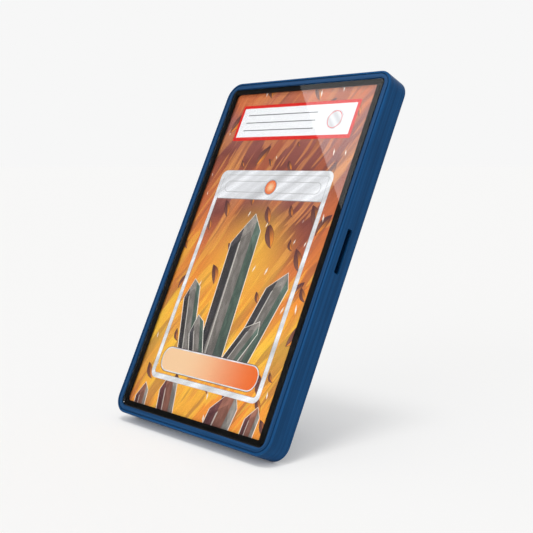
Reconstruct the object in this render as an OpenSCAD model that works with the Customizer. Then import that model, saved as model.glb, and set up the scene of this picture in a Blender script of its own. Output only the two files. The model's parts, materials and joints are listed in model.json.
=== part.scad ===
// Upright display case for one graded trading card slab
// A magnetic front frame with a clear pane closes a tray that stands on a fold-out leg

/* [Slab] */
// Width of the clear slab
slab_w = 80; // [74:0.5:90]
// Height of the clear slab
slab_h = 135; // [128:0.5:150]
// Thickness of the clear slab
slab_t = 4.9; // [4.4:0.1:8]
// Radius of the slab's corners
slab_r = 3; // [1.5:0.25:5]
// Thickness of the slab's clear front face
slab_face_t = 0.8; // [0.5:0.1:1.2]
// Thickness of the slab's clear rear face
slab_back_t = 0.9; // [0.5:0.1:1.3]
// Thickness of the ribs around the slab's edge
slab_rib_t = 0.55; // [0.4:0.05:1.2]

/* [Card and label] */
// Width of the trading card
card_w = 63; // [58:0.5:66]
// Height of the trading card
card_h = 88; // [80:0.5:90]
// Radius of the card's corners
card_r = 3.2; // [1:0.1:4]
// Thickness of the card, the label and the art board
print_t = 0.38; // [0.25:0.01:0.6]
// Distance from the slab's bottom edge to the card's bottom edge
card_rise = 12; // [8:0.1:13]
// Width of the grade label
label_w = 65.4; // [50:0.1:68]
// Height of the grade label
label_h = 15.8; // [12:0.1:17]
// Distance from the slab's top edge to the label's top edge
label_drop = 6; // [4:0.1:9]

/* [Shell] */
// Thickness of the shell's long side walls
wall_side = 3.65; // [3.4:0.05:6]
// Thickness of the shell's top and bottom walls
wall_end = 3.15; // [2.9:0.05:6]
// Thickness of the shell's floor where the leg is let into it
floor_web_t = 0.7; // [0.5:0.05:2]
// Radius of the case's corners
corner_r = 6.5; // [4:0.25:9]
// Radius of the rounding along the case's outer edges
edge_r = 0.5; // [0.3:0.05:0.75]
// Thickness of the liner between the slab and the shell
liner_t = 1; // [0.6:0.05:2]
// Thickness of the foam pad behind the slab
pad_t = 0.8; // [0.5:0.1:2]
// Length of the push slot in the right-hand wall
slot_l = 16.5; // [8:0.5:24]
// Width of the push slot
slot_w = 2.5; // [1.2:0.1:2.6]
// Radius of the slot's corners
slot_r = 0.5; // [0.2:0.1:0.6]
// Height of the slot's centre above the case's bottom edge
slot_rise = 75.3; // [70:0.1:76]
// Depth of the slot's centre behind the front of the case
slot_depth = 4.1; // [3.9:0.1:4.6]
// Thickness of the wall's skin around the slot
slot_skin = 0.7; // [0.5:0.05:1.5]

/* [Front frame] */
// Thickness of the shell's rim around the front frame
rim_t = 0.85; // [0.8:0.05:1.2]
// Thickness of the front frame
frame_t = 1.6; // [1.5:0.05:1.8]
// Width of the seam groove around the front frame
seam_w = 0.35; // [0.1:0.05:0.45]
// Depth of the seam groove
seam_d = 0.5; // [0.1:0.1:0.6]
// How far the clear pane reaches past the slab at each side
pane_lap_side = 1.4; // [1.2:0.1:1.7]
// How far the clear pane reaches past the slab at top and bottom
pane_lap_end = 1.2; // [1.1:0.1:1.5]
// How far the border covers the slab at each side
border_lap_side = 1.5; // [0.8:0.1:3]
// How far the border covers the slab at top and bottom
border_lap_end = 0.75; // [0.4:0.05:2]
// Thickness of the clear pane
pane_t = 0.7; // [0.5:0.05:1]
// Radius of the pane's corners
pane_r = 2; // [1:0.25:3]
// Width of the groove around the edge of the pane
pane_gap = 0.5; // [0.1:0.05:0.6]
// Depth of the pane behind the front of the frame
pane_sink = 0.1; // [0:0.05:0.3]
// Thickness of the printed border
border_t = 0.15; // [0.1:0.05:0.2]
// Thickness of the tape that holds the pane
tape_t = 0.15; // [0.1:0.05:0.2]

/* [Magnets] */
// Length of a bar magnet
magnet_l = 12; // [6:0.5:14]
// Width of a bar magnet
magnet_w = 1.6; // [1:0.1:1.6]
// Thickness of a bar magnet
magnet_t = 0.9; // [0.6:0.05:1]
// Distance from the case's centre to the inner magnets
magnet_near = 22; // [20:0.5:26]
// Distance from the case's centre to the outer magnets
magnet_far = 52; // [44:0.5:56]

/* [Stand] */
// Angle by which the case leans back from upright
lean_angle = 25.5; // [23:0.5:32]
// Angle of the open leg from upright
leg_splay = 16; // [10:0.5:20]
// Distance from the hinge pin to the centre of the leg's foot
leg_reach = 50; // [44:0.5:60]
// Width of the leg at its hinge
leg_w = 16; // [12:0.5:24]
// Width of the leg at its foot
leg_tip_w = 14; // [8:0.5:16]
// Thickness of the leg
leg_t = 1.3; // [1:0.05:1.35]
// Radius of the hinge pin
pin_r = 0.4; // [0.3:0.05:0.45]
// Radius of the leg's hinge barrel
barrel_r = 0.75; // [0.7:0.01:0.9]
// Radius of the rubber foot
foot_r = 0.85; // [0.7:0.01:0.9]
// Length of each end of the pin that sits in the shell
pin_seat_l = 2.6; // [2:0.1:4]
// Radius of the keeper screws
screw_r = 0.5; // [0.4:0.05:0.6]

/* [Hidden] */
$fn = 64;

// Clearances
slide_gap = 0.3;
seat_gap = 0.05;
print_gap = 0.05;
rib_gap = 0.05;
ledge_gap = 0.4;
run_gap = 0.05;
pin_fit = 0.02;
leg_gap = 0.5;
barrel_gap = 0.2;
slot_ease = 0.4;
// A cut passes this far beyond the face that it opens
over = 1;

// The folded leg and its barrel lie in a recess in the shell's floor, centred on the pin
pin_z = barrel_r + barrel_gap;
recess_d = 2 * pin_z;
recess_w = leg_w + 2 * leg_gap;
floor_t = recess_d + floor_web_t;

// Sizes of the case, worked out from the slab outwards
liner_in_w = slab_w + 2 * slide_gap;
liner_in_h = slab_h + 2 * slide_gap;
liner_out_w = liner_in_w + 2 * liner_t;
liner_out_h = liner_in_h + 2 * liner_t;
cavity_w = liner_out_w + 2 * seat_gap;
cavity_h = liner_out_h + 2 * seat_gap;
cavity_r = slab_r + slide_gap + liner_t + seat_gap;
case_w = cavity_w + 2 * wall_side;
case_h = cavity_h + 2 * wall_end;
mid_y = case_h / 2;

// Levels through the thickness, counted from the back of the case
pad_z = floor_t + seat_gap;
slab_z = pad_z + pad_t + seat_gap;
slab_top = slab_z + slab_t;
border_z = slab_top + seat_gap;
pane_z = border_z + border_t;
case_d = pane_z + pane_t + pane_sink;
tape_z = border_z - tape_t;
seat_z = case_d - frame_t - seat_gap;
print_top = slab_top - slab_face_t - rib_gap;
print_z = print_top - print_t;
core_z = slab_z + slab_back_t + rib_gap;
slab_split = slab_z + slab_t / 2;

// Sizes of the front frame and what it holds
frame_w = case_w - 2 * rim_t - 2 * seat_gap;
frame_h = case_h - 2 * rim_t - 2 * seat_gap;
frame_r = corner_r - rim_t - seat_gap;
pane_w = slab_w + 2 * pane_lap_side;
pane_h = slab_h + 2 * pane_lap_end;
ledge_w = slab_w + 2 * ledge_gap;
ledge_h = slab_h + 2 * ledge_gap;
ledge_r = slab_r + ledge_gap;
window_w = slab_w - 2 * border_lap_side;
window_h = slab_h - 2 * border_lap_end;
window_r = 0.4;
tape_trim = 0.1;

// Sizes inside the slab
board_w = slab_w - 2 * slab_rib_t - 2 * rib_gap;
board_h = slab_h - 2 * slab_rib_t - 2 * rib_gap;
sharp_r = 0.5;
slab_in_r = max(sharp_r, slab_r - slab_rib_t);
board_r = max(sharp_r, slab_r - slab_rib_t - rib_gap);
slab_bottom = mid_y - slab_h / 2;
card_y = slab_bottom + card_rise + card_h / 2;
label_y = slab_bottom + slab_h - label_drop - label_h / 2;
label_r = 0.4;

// Places of the magnets, midway between the pane's seat and the frame's outer edge
magnet_x = (pane_w / 2 + pane_gap + frame_w / 2) / 2;
magnet_rows = [-magnet_far, -magnet_near, magnet_near, magnet_far];

// The rounded lower back edge and the open leg's foot both stand on the ground
rest_lift = edge_r * (1 - cos(lean_angle) - sin(lean_angle));
pin_up = foot_r + leg_reach * cos(leg_splay);
hinge_rise = (pin_up - rest_lift - pin_z * sin(lean_angle)) / cos(lean_angle);
open_angle = lean_angle + leg_splay;

// The heel above the pin turns against the bottom of the recess and stops the open leg
heel_t = 0.6;
stop_gap = 0.01;
heel_l = (pin_z - stop_gap - heel_t / 2 * cos(open_angle)) / sin(open_angle);

// The tongue at the leg's end carries the foot, and the thumb notch lies above the foot
tongue_l = 2.6;
tongue_t = 0.6;
tongue_inset = 1;
foot_grip = 2.2;
thumb_r = 6;
thumb_up = 10;
thumb_rise = hinge_rise - leg_reach + thumb_up;

// The keepers on the ends of the pin
keeper_t = pin_z - pin_r - pin_fit - seat_gap;
keeper_w = 4;
keeper_h = 6.5;
keeper_r = 0.8;
keeper_below = 1.4;
keeper_land = 0.3;
keeper_x = recess_w / 2 + keeper_w / 2 + keeper_land;
screw_up = 3.4;
screw_l = 1.2;
screw_head_r = 0.95;
screw_head_t = keeper_t / 2;

// The box around the whole case at rest is centred on the origin from front to back
back_reach = (case_h - edge_r) * sin(lean_angle) - edge_r * cos(lean_angle) + edge_r;
front_reach = edge_r * sin(lean_angle) - (case_d - edge_r) * cos(lean_angle) - edge_r;
stand_y = -(back_reach + front_reach) / 2;

// Carries the face plane, with x across, y up the face and z out of it, to where the case stands
module standing() {
    translate([0, stand_y, rest_lift]) rotate([90 - lean_angle, 0, 0]) children();
}

// A rectangle with round corners, centred on the origin
module round_rect(w, h, r) {
    square([w - 2 * r, h], center = true);
    square([w, h - 2 * r], center = true);
    for (sx = [-1, 1], sy = [-1, 1]) translate([sx * (w / 2 - r), sy * (h / 2 - r)]) circle(r);
}

// A flat layer of the case between two levels
module layer(z0, z1) {
    translate([0, mid_y, z0]) linear_extrude(z1 - z0) children();
}

// A ring between two round rectangles
module ring(w, h, r, in_w, in_h, in_r) {
    difference() {
        round_rect(w, h, r);
        round_rect(in_w, in_h, in_r);
    }
}

// The cross-section of a bar with round edges, from its middle outwards
module edge_profile(half, d, r) {
    square([half - r, d]);
    translate([0, r]) square([half, d - 2 * r]);
    for (y = [r, d - r]) translate([half - r, y]) circle(r);
}

module full_profile(w, d, r) {
    edge_profile(w / 2, d, r);
    mirror([1, 0]) edge_profile(w / 2, d, r);
}

// A plate with round corners whose outer edges are rounded at the back and at the front
module soft_plate(w, h, d, r, er) {
    for (sx = [-1, 1], sy = [-1, 1]) {
        translate([sx * (w / 2 - r), sy * (h / 2 - r), 0]) rotate_extrude() edge_profile(r, d, er);
    }
    translate([0, h / 2 - r, 0]) rotate([90, 0, 0]) linear_extrude(h - 2 * r) full_profile(w, d, er);
    translate([r - w / 2, 0, 0]) rotate([90, 0, 90]) linear_extrude(w - 2 * r) full_profile(h, d, er);
}

// Bars along both long sides, grown by a clearance
module magnet_bars(z0, z1, grow) {
    for (sx = [-1, 1], y = magnet_rows) {
        translate([sx * magnet_x, mid_y + y, (z0 + z1) / 2]) {
            cube([magnet_w + 2 * grow, magnet_l + 2 * grow, z1 - z0], center = true);
        }
    }
}

// The leg's plan from above the pin to its end, grown by a clearance
module leg_plan(top, end, grow) {
    polygon([
        [-leg_w / 2 - grow, top], [leg_w / 2 + grow, top],
        [leg_tip_w / 2 + grow, -end], [-leg_tip_w / 2 - grow, -end]
    ]);
}

// Puts something drawn around the pin at the hinge
module at_hinge() {
    translate([0, hinge_rise, pin_z]) children();
}

// A round bar along the pin's direction
module cross_bar(r, l) {
    rotate([0, 90, 0]) cylinder(r = r, h = l, center = true);
}

module keeper_places() {
    for (sx = [-1, 1]) translate([sx * keeper_x, hinge_rise, 0]) children();
}

// A keeper's plan, grown by a clearance
module keeper_plan(grow) {
    translate([0, keeper_h / 2 - keeper_below]) {
        round_rect(keeper_w + 2 * grow, keeper_h + 2 * grow, keeper_r);
    }
}

// The push slot in the wall's skin, and the wider pocket between the skin and the liner
module slot_cuts() {
    slot_z = case_d - slot_depth;
    translate([case_w / 2, slot_rise, slot_z]) rotate([90, 0, 90]) {
        linear_extrude(2 * slot_skin + over, center = true) round_rect(slot_l, slot_w, slot_r);
    }
    pocket_l = slot_l + 2 * slot_ease;
    translate([cavity_w / 2 - over, slot_rise - pocket_l / 2, floor_t]) {
        cube([over + wall_side - slot_skin, pocket_l, slot_z + slot_w / 2 + slot_ease - floor_t]);
    }
}

module shell_back_cuts() {
    // Recess that the folded leg lies in
    translate([0, hinge_rise, -over]) {
        linear_extrude(recess_d + over) leg_plan(barrel_r + leg_gap, leg_reach + foot_r + leg_gap, leg_gap);
    }
    // Thumb notch beside the leg
    translate([-leg_w / 2, thumb_rise, -over]) cylinder(r = thumb_r, h = recess_d + over);
    // Seats of the pin
    pin_len = recess_w + 2 * pin_seat_l + 2 * pin_fit;
    translate([0, hinge_rise, pin_z]) cross_bar(pin_r + pin_fit, pin_len);
    translate([-pin_len / 2, hinge_rise - pin_r - pin_fit, -over]) {
        cube([pin_len, 2 * (pin_r + pin_fit), pin_z + over]);
    }
    // Pockets and holes of the keepers
    keeper_places() {
        translate([0, 0, -over]) linear_extrude(keeper_t + seat_gap + over) keeper_plan(seat_gap);
        translate([0, screw_up, 0]) cylinder(r = screw_r, h = screw_l + keeper_t);
    }
}

module rear_shell() {
    color("#27507f") standing() difference() {
        translate([0, mid_y, 0]) soft_plate(case_w, case_h, case_d, corner_r, edge_r);
        layer(floor_t, case_d + over) round_rect(cavity_w, cavity_h, cavity_r);
        layer(seat_z, case_d + over) {
            round_rect(frame_w + 2 * seat_gap, frame_h + 2 * seat_gap, frame_r + seat_gap);
        }
        magnet_bars(seat_z - magnet_t - seat_gap, seat_z + over, seat_gap);
        slot_cuts();
        shell_back_cuts();
    }
}

module inner_liner() {
    color("#1d1c1b") standing() layer(floor_t + seat_gap, seat_z - seat_gap) {
        ring(liner_out_w, liner_out_h, cavity_r - seat_gap, liner_in_w, liner_in_h, slab_r + slide_gap);
    }
}

module back_pad() {
    color("#2a2a2c") standing() layer(pad_z, pad_z + pad_t) {
        round_rect(slab_w - 2 * slide_gap, slab_h - 2 * slide_gap, slab_r);
    }
}

module shell_magnets() {
    color("#b9bcc0") standing() magnet_bars(seat_z - magnet_t, seat_z, 0);
}

module front_frame() {
    color("#2d5a8c") standing() difference() {
        union() {
            layer(case_d - frame_t, case_d - seam_d) round_rect(frame_w, frame_h, frame_r);
            layer(case_d - frame_t, case_d) {
                round_rect(frame_w - 2 * seam_w, frame_h - 2 * seam_w, frame_r - seam_w);
            }
        }
        layer(case_d - frame_t - over, case_d + over) round_rect(ledge_w, ledge_h, ledge_r);
        layer(tape_z, case_d + over) {
            round_rect(pane_w + 2 * pane_gap, pane_h + 2 * pane_gap, pane_r + pane_gap);
        }
        frame_back = case_d - frame_t;
        magnet_bars(frame_back - over, frame_back + magnet_t + seat_gap, seat_gap);
    }
}

module window_pane() {
    color("#e8f0f4", 0.3) standing() layer(pane_z, pane_z + pane_t) round_rect(pane_w, pane_h, pane_r);
}

module window_border() {
    color("#191917") standing() layer(border_z, pane_z) {
        ring(pane_w, pane_h, pane_r, window_w, window_h, window_r);
    }
}

// The tape under the pane reaches out across the groove around it
module pane_tape() {
    color("#303030") standing() layer(tape_z, border_z) {
        reach = pane_gap - tape_trim;
        ring(pane_w + 2 * reach, pane_h + 2 * reach, pane_r + reach,
            ledge_w + 2 * tape_trim, ledge_h + 2 * tape_trim, ledge_r);
    }
}

module frame_magnets() {
    color("#b9bcc0") standing() magnet_bars(case_d - frame_t, case_d - frame_t + magnet_t, 0);
}

// One half of the slab: a clear face with a rib around its edge
module slab_half(face_z0, face_z1, rib_z0, rib_z1) {
    layer(face_z0, face_z1) round_rect(slab_w, slab_h, slab_r);
    layer(rib_z0, rib_z1) {
        ring(slab_w, slab_h, slab_r, slab_w - 2 * slab_rib_t, slab_h - 2 * slab_rib_t, slab_in_r);
    }
}

module slab_front() {
    color("#eef3f5", 0.35) standing() {
        slab_half(slab_top - slab_face_t, slab_top, slab_split + rib_gap / 2, slab_top - slab_face_t);
    }
}

module slab_rear() {
    color("#e6ecef", 0.35) standing() {
        slab_half(slab_z, slab_z + slab_back_t, slab_z + slab_back_t, slab_split - rib_gap / 2);
    }
}

module art_board() {
    color("#d98a3a") standing() difference() {
        layer(print_z, print_top) round_rect(board_w, board_h, board_r);
        translate([0, card_y, print_z - over]) linear_extrude(print_t + 2 * over) {
            round_rect(card_w + 2 * print_gap, card_h + 2 * print_gap, card_r + print_gap);
        }
        translate([0, label_y, print_z - over]) linear_extrude(print_t + 2 * over) {
            round_rect(label_w + 2 * print_gap, label_h + 2 * print_gap, label_r + print_gap);
        }
    }
}

module trading_card() {
    color("#d9d9d6") standing() translate([0, card_y, print_z]) {
        linear_extrude(print_t) round_rect(card_w, card_h, card_r);
    }
}

module grade_label() {
    color("#f2f0ee") standing() translate([0, label_y, print_z]) {
        linear_extrude(print_t) round_rect(label_w, label_h, label_r);
    }
}

module core_board() {
    color("#ecebe6") standing() layer(core_z, print_z - rib_gap) round_rect(board_w, board_h, board_r);
}

// Everything on the leg is drawn folded, pointing down from the pin, and opened here
module opened() {
    standing() at_hinge() rotate([open_angle, 0, 0]) children();
}

module kickstand_leg() {
    color("#234a77") opened() difference() {
        union() {
            cross_bar(barrel_r, leg_w);
            translate([-leg_w / 2, 0, -heel_t / 2]) cube([leg_w, heel_l, heel_t]);
            translate([0, 0, -leg_t / 2]) linear_extrude(leg_t) leg_plan(0, leg_reach - tongue_l, 0);
            translate([0, 0, -tongue_t / 2]) linear_extrude(tongue_t) {
                leg_plan(0, leg_reach - foot_r, -tongue_inset);
            }
        }
        cross_bar(pin_r + run_gap, leg_w + 2 * over);
    }
}

module leg_foot() {
    color("#1b1b1b") opened() difference() {
        union() {
            translate([0, -leg_reach, 0]) cross_bar(foot_r, leg_tip_w - 2 * run_gap);
            translate([0, foot_grip / 2 - leg_reach, 0]) {
                cube([leg_tip_w - 2 * run_gap, foot_grip, leg_t], center = true);
            }
        }
        translate([0, 0, -tongue_t / 2 - run_gap]) {
            linear_extrude(tongue_t + 2 * run_gap) {
                leg_plan(0, leg_reach - foot_r + run_gap, run_gap - tongue_inset);
            }
        }
    }
}

module hinge_pin() {
    color("#a9adb2") standing() at_hinge() cross_bar(pin_r, recess_w + 2 * pin_seat_l);
}

module pin_keepers() {
    color("#8f9398") standing() keeper_places() difference() {
        linear_extrude(keeper_t) keeper_plan(0);
        translate([0, screw_up, -over]) cylinder(r = screw_r + run_gap, h = keeper_t + 2 * over);
        translate([0, screw_up, -over]) cylinder(r = screw_head_r + run_gap, h = screw_head_t + over);
    }
}

module keeper_screws() {
    color("#c3c6ca") standing() keeper_places() translate([0, screw_up, 0]) {
        cylinder(r = screw_head_r, h = screw_head_t);
        cylinder(r = screw_r - pin_fit, h = screw_l + keeper_t - seat_gap);
    }
}

rear_shell();
inner_liner();
back_pad();
shell_magnets();
front_frame();
window_pane();
window_border();
pane_tape();
frame_magnets();
slab_front();
slab_rear();
art_board();
trading_card();
grade_label();
core_board();
kickstand_leg();
leg_foot();
hinge_pin();
pin_keepers();
keeper_screws();
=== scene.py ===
"""Dresses an upright display case that shows one graded trading card slab."""

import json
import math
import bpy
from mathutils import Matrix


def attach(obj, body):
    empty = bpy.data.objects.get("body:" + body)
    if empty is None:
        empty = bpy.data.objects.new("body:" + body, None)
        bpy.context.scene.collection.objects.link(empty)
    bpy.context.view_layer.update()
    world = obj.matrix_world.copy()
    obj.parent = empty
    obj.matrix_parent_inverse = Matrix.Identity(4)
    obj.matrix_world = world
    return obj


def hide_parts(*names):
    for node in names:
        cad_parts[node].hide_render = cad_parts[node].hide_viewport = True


bl_info = {
    "name": "Trading Card Display Case",
    "version": (1, 0, 0),
    "blender": (4, 5, 0),
    "location": "View3D > Sidebar > Display Case",
    "description": "Gives the case, the slab and the card their finishes and sets a plain studio",
    "category": "Object",
}

import bmesh
import bpy
from bpy.props import FloatProperty, FloatVectorProperty, PointerProperty
from mathutils import Matrix, Vector

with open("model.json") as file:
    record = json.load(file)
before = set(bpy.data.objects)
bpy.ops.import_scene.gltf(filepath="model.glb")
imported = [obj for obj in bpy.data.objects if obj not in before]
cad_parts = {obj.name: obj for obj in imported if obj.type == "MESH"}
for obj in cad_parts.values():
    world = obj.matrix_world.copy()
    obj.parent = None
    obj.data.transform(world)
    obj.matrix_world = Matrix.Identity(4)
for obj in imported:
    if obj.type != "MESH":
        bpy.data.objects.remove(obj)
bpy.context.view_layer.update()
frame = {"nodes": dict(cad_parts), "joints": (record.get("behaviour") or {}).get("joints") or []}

MM = 0.001
IMAGE_PX = 533

# Shorter lengths than this, in millimetres, count as nothing.
TINY = 0.001
# Angles in degrees: creases to take out, edges to round and creases that the shading keeps.
FLAT_CREASE = 0.5
SHARP_EDGE = 35
KEPT_CREASE = 50

# Picture points on the pane: two on the edge of its lit corner and one in its dark part.
LIT_TOP = (300, 86)
LIT_SIDE = (339.5, 204)
DARK_SPOT = (190, 420)
# The dark flag, in metres: its distance from the mirrored camera and how far it reaches each way.
FLAG_AWAY = 1.0
FLAG_BEFORE = 0.15
FLAG_BEYOND = 0.5
FLAG_DEEP = 0.45

# Crystals of the two pictures: place across, width and height in millimetres, and lean in degrees.
BOARD_CRYSTALS = (
    (-15.0, 10.0, 20.0, 14.0),
    (14.0, 14.0, 19.0, -9.0),
    (-31.5, 7.0, 12.0, 8.0),
    (30.5, 7.0, 14.0, -4.0),
)
CARD_CRYSTALS = (
    (-14.5, 9.0, 35.0, 19.0),
    (13.0, 11.0, 42.0, -15.0),
    (-1.5, 15.0, 62.0, 3.0),
    (7.5, 8.0, 24.0, -27.0),
    (-7.5, 8.0, 21.0, 25.0),
)


def tone(red, green, blue):
    """A colour in linear light, from its usual numbers between 0 and 255."""
    shares = [value / 255 for value in (red, green, blue)]
    return tuple(s / 12.92 if s <= 0.04045 else ((s + 0.055) / 1.055) ** 2.4 for s in shares)


def scaled(colour, factor):
    """A colour made lighter or darker by a factor."""
    if isinstance(colour, Term):
        return colour * factor
    return tuple(min(1.0, channel * factor) for channel in colour)


def box_of(points):
    """The lowest and the highest corner around some points."""
    low = Vector([min(point[axis] for point in points) for axis in range(3)])
    high = Vector([max(point[axis] for point in points) for axis in range(3)])
    return low, high


class Place:
    """A flat part's own axes, in millimetres: x across it, y up it and z out of its front."""

    def __init__(self, turn, origin=(0, 0, 0)):
        self.turn = turn
        self.origin = Vector(origin)
        self.matrix = Matrix.Rotation(turn, 3, "X")

    @property
    def out(self):
        """The direction out of the part's front, in the row frame."""
        return self.matrix.transposed() @ Vector((0, 0, 1))

    def local(self, point):
        """A point of the row frame, in this place's millimetres."""
        return self.matrix @ (Vector(point) - self.origin) / MM

    def world(self, x, y, z):
        """A point of this place, in the row frame's metres."""
        return self.matrix.transposed() @ (Vector((x, y, z)) * MM) + self.origin

    def points(self, node):
        """The corners of a node's mesh in this place."""
        return [self.local(vertex.co) for vertex in frame["nodes"][node].data.vertices]

    def box(self, node):
        """The lowest and the highest corner of a node in this place."""
        return box_of(self.points(node))


def joint(name):
    """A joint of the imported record."""
    return next(each for each in frame["joints"] if each["name"] == name)


def face_place():
    """The leaning case's axes, from the middle of its back."""
    out = Vector(joint("front_lift")["axis"])
    leaning = Place(math.atan2(out.y, out.z))
    low, high = leaning.box("rear_shell")
    return Place(leaning.turn, leaning.world(0, (low.y + high.y) / 2, low.z))


def leg_place():
    """The open leg's axes, from its hinge."""
    hinge = joint("leg_fold")
    opened = math.radians(-hinge["range_deg"][0])
    return Place(FACE.turn - opened, hinge["pos_m"])


FACE = face_place()
LEG = leg_place()


def is_vector(value):
    """True for a vector or a colour, as a term or as numbers."""
    if isinstance(value, Term):
        return value.socket.type in {"VECTOR", "RGBA"}
    return isinstance(value, (tuple, Vector))


class Term:
    """A node's output in an expression: arithmetic on it adds the nodes that do the sum."""

    def __init__(self, finish, socket):
        self.finish = finish
        self.socket = socket

    def __getitem__(self, name):
        return Term(self.finish, self.socket.node.outputs[name])

    def sum(self, operation, first, second):
        """A Math node, or a Vector Math node where either side is a vector."""
        kind = "ShaderNodeMath"
        if is_vector(first) or is_vector(second):
            kind = "ShaderNodeVectorMath"
        return self.finish.node(kind, {"operation": operation}, {0: first, 1: second})

    def __add__(self, other):
        return self.sum("ADD", self, other)

    __radd__ = __add__

    def __sub__(self, other):
        return self.sum("SUBTRACT", self, other)

    def __rsub__(self, other):
        return self.sum("SUBTRACT", other, self)

    def __mul__(self, other):
        return self.sum("MULTIPLY", self, other)

    __rmul__ = __mul__

    def __truediv__(self, other):
        return self.sum("DIVIDE", self, other)

    def __pow__(self, other):
        return self.sum("POWER", self, other)

    def __abs__(self):
        return self.finish.node("ShaderNodeMath", {"operation": "ABSOLUTE"}, {0: self})

    def most(self, other):
        """The larger of two values."""
        return self.sum("MAXIMUM", self, other)

    def least(self, other):
        """The smaller of two values."""
        return self.sum("MINIMUM", self, other)

    def wave(self, length):
        """A wave of that length along this value, from -1 to 1."""
        turn = self * (2 * math.pi / length)
        return self.finish.node("ShaderNodeMath", {"operation": "SINE"}, {0: turn})

    def rise(self, start, end):
        """0 before start, 1 after end and smooth between them."""
        sockets = {"Value": self, "From Min": start, "From Max": end}
        return self.finish.node("ShaderNodeMapRange", {"interpolation_type": "SMOOTHSTEP"}, sockets)

    def past(self, line, soft=0.1):
        """0 below a line, 1 above it and smooth across it."""
        return self.rise(line - soft / 2, line + soft / 2)

    def within(self, line, soft=0.1):
        """1 below a line, 0 above it and smooth across it."""
        return self.rise(line + soft / 2, line - soft / 2)


class Finish:
    """A material in the making, or the world's."""

    def __init__(self, name, world=False):
        self.made = (bpy.data.worlds if world else bpy.data.materials).new(name)
        self.made.use_nodes = True
        self.tree = self.made.node_tree
        self.tree.nodes.clear()
        self.output = "ShaderNodeOutputWorld" if world else "ShaderNodeOutputMaterial"

    def node(self, kind, settings=None, sockets=None):
        """Adds a shader node: its settings come first, then the values or links of its sockets."""
        made = self.tree.nodes.new(kind)
        for name, value in (settings or {}).items():
            if name == "stops":
                self.set_stops(made.color_ramp, value)
            else:
                setattr(made, name, value)
        for key, value in (sockets or {}).items():
            self.fill(made.inputs[key], value)
        given = [output for output in made.outputs if output.enabled]
        return Term(self, given[0]) if given else None

    def fill(self, socket, value):
        """Links a term to a socket, or sets the socket's own value."""
        if isinstance(value, Term):
            self.tree.links.new(value.socket, socket)
        elif socket.type == "RGBA":
            socket.default_value = (*value, 1.0)
        elif socket.type == "VECTOR" and not is_vector(value):
            socket.default_value = (value, value, value)
        else:
            socket.default_value = value

    @staticmethod
    def set_stops(ramp, stops):
        """Gives a colour ramp its stops, as pairs of a position and a colour."""
        while len(ramp.elements) < len(stops):
            ramp.elements.new(1.0)
        for element, (position, colour) in zip(ramp.elements, stops):
            element.position = position
            element.color = (*colour, 1.0)

    def mix(self, share, first, second):
        """Goes from the first value or colour to the second as share goes from 0 to 1."""
        if is_vector(first) or is_vector(second):
            return self.node("ShaderNodeMix", {"data_type": "RGBA"}, {0: share, 6: first, 7: second})
        return self.node("ShaderNodeMix", {"data_type": "FLOAT"}, {0: share, 2: first, 3: second})

    def shades(self, share, colour, first, second):
        """Goes from one strength of a colour to another as share goes from 0 to 1."""
        return self.mix(share, scaled(colour, first), scaled(colour, second))

    def ramp(self, value, stops, interpolation="LINEAR"):
        """A colour picked along a row of stops."""
        made = self.node("ShaderNodeValToRGB", {"stops": stops}, {"Fac": value})
        made.socket.node.color_ramp.interpolation = interpolation
        return made

    def vector(self, x, y, z=0.0):
        """A vector from its three parts."""
        return self.node("ShaderNodeCombineXYZ", None, {0: x, 1: y, 2: z})

    def parts(self, vector):
        """The three parts of a vector."""
        split = self.node("ShaderNodeSeparateXYZ", None, {0: vector})
        return split["X"], split["Y"], split["Z"]

    def point(self, place):
        """The shaded point in a place's millimetres."""
        where = self.node("ShaderNodeTexCoord")["Object"]
        shift = place.matrix @ place.origin / -MM
        return self.node(
            "ShaderNodeMapping",
            {"vector_type": "POINT"},
            {"Vector": where, "Location": tuple(shift), "Rotation": (place.turn, 0, 0), "Scale": 1 / MM},
        )

    def facing(self, place):
        """How much the surface faces a place's front or back, from 0 to 1."""
        normal = self.node("ShaderNodeTexCoord")["Normal"]
        sockets = {0: normal, 1: tuple(place.out)}
        along = self.node("ShaderNodeVectorMath", {"operation": "DOT_PRODUCT"}, sockets)
        return abs(along["Value"])

    def noise(self, vector, scale, detail=2.0, roughness=0.5):
        """Soft noise from 0 to 1."""
        sockets = {"Vector": vector, "Scale": scale, "Detail": detail, "Roughness": roughness}
        return self.node("ShaderNodeTexNoise", None, sockets)

    def bump(self, height, depth_mm, strength=1.0):
        """A normal that follows a height from 0 to 1."""
        sockets = {"Strength": strength, "Distance": depth_mm * MM, "Height": height}
        return self.node("ShaderNodeBump", None, sockets)

    def principled(self, sockets):
        """The Principled shader with these sockets."""
        return self.node("ShaderNodeBsdfPrincipled", None, sockets)

    def coat(self, colour, roughness, normal, gloss=0.5, metallic=0.0):
        """Gives the material one opaque surface and returns the material."""
        sockets = {"Base Color": colour, "Metallic": metallic, "Roughness": roughness}
        sockets.update({"Specular IOR Level": gloss, "Normal": normal})
        return self.show(self.principled(sockets))

    def show(self, shader):
        """Connects a shader to the output and returns what was made."""
        self.node(self.output, None, {"Surface": shader})
        return self.made


def distance(x, y):
    """How far a point lies from the origin."""
    return (x * x + y * y) ** 0.5


def inset(x, y, half_w, half_h, radius):
    """How far inside a rectangle with round corners a point lies, below 0 outside it."""
    over_x = abs(x) - (half_w - radius)
    over_y = abs(y) - (half_h - radius)
    reach = distance(over_x.most(0.0), over_y.most(0.0))
    return radius - reach - over_x.most(over_y).least(0.0)


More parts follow.
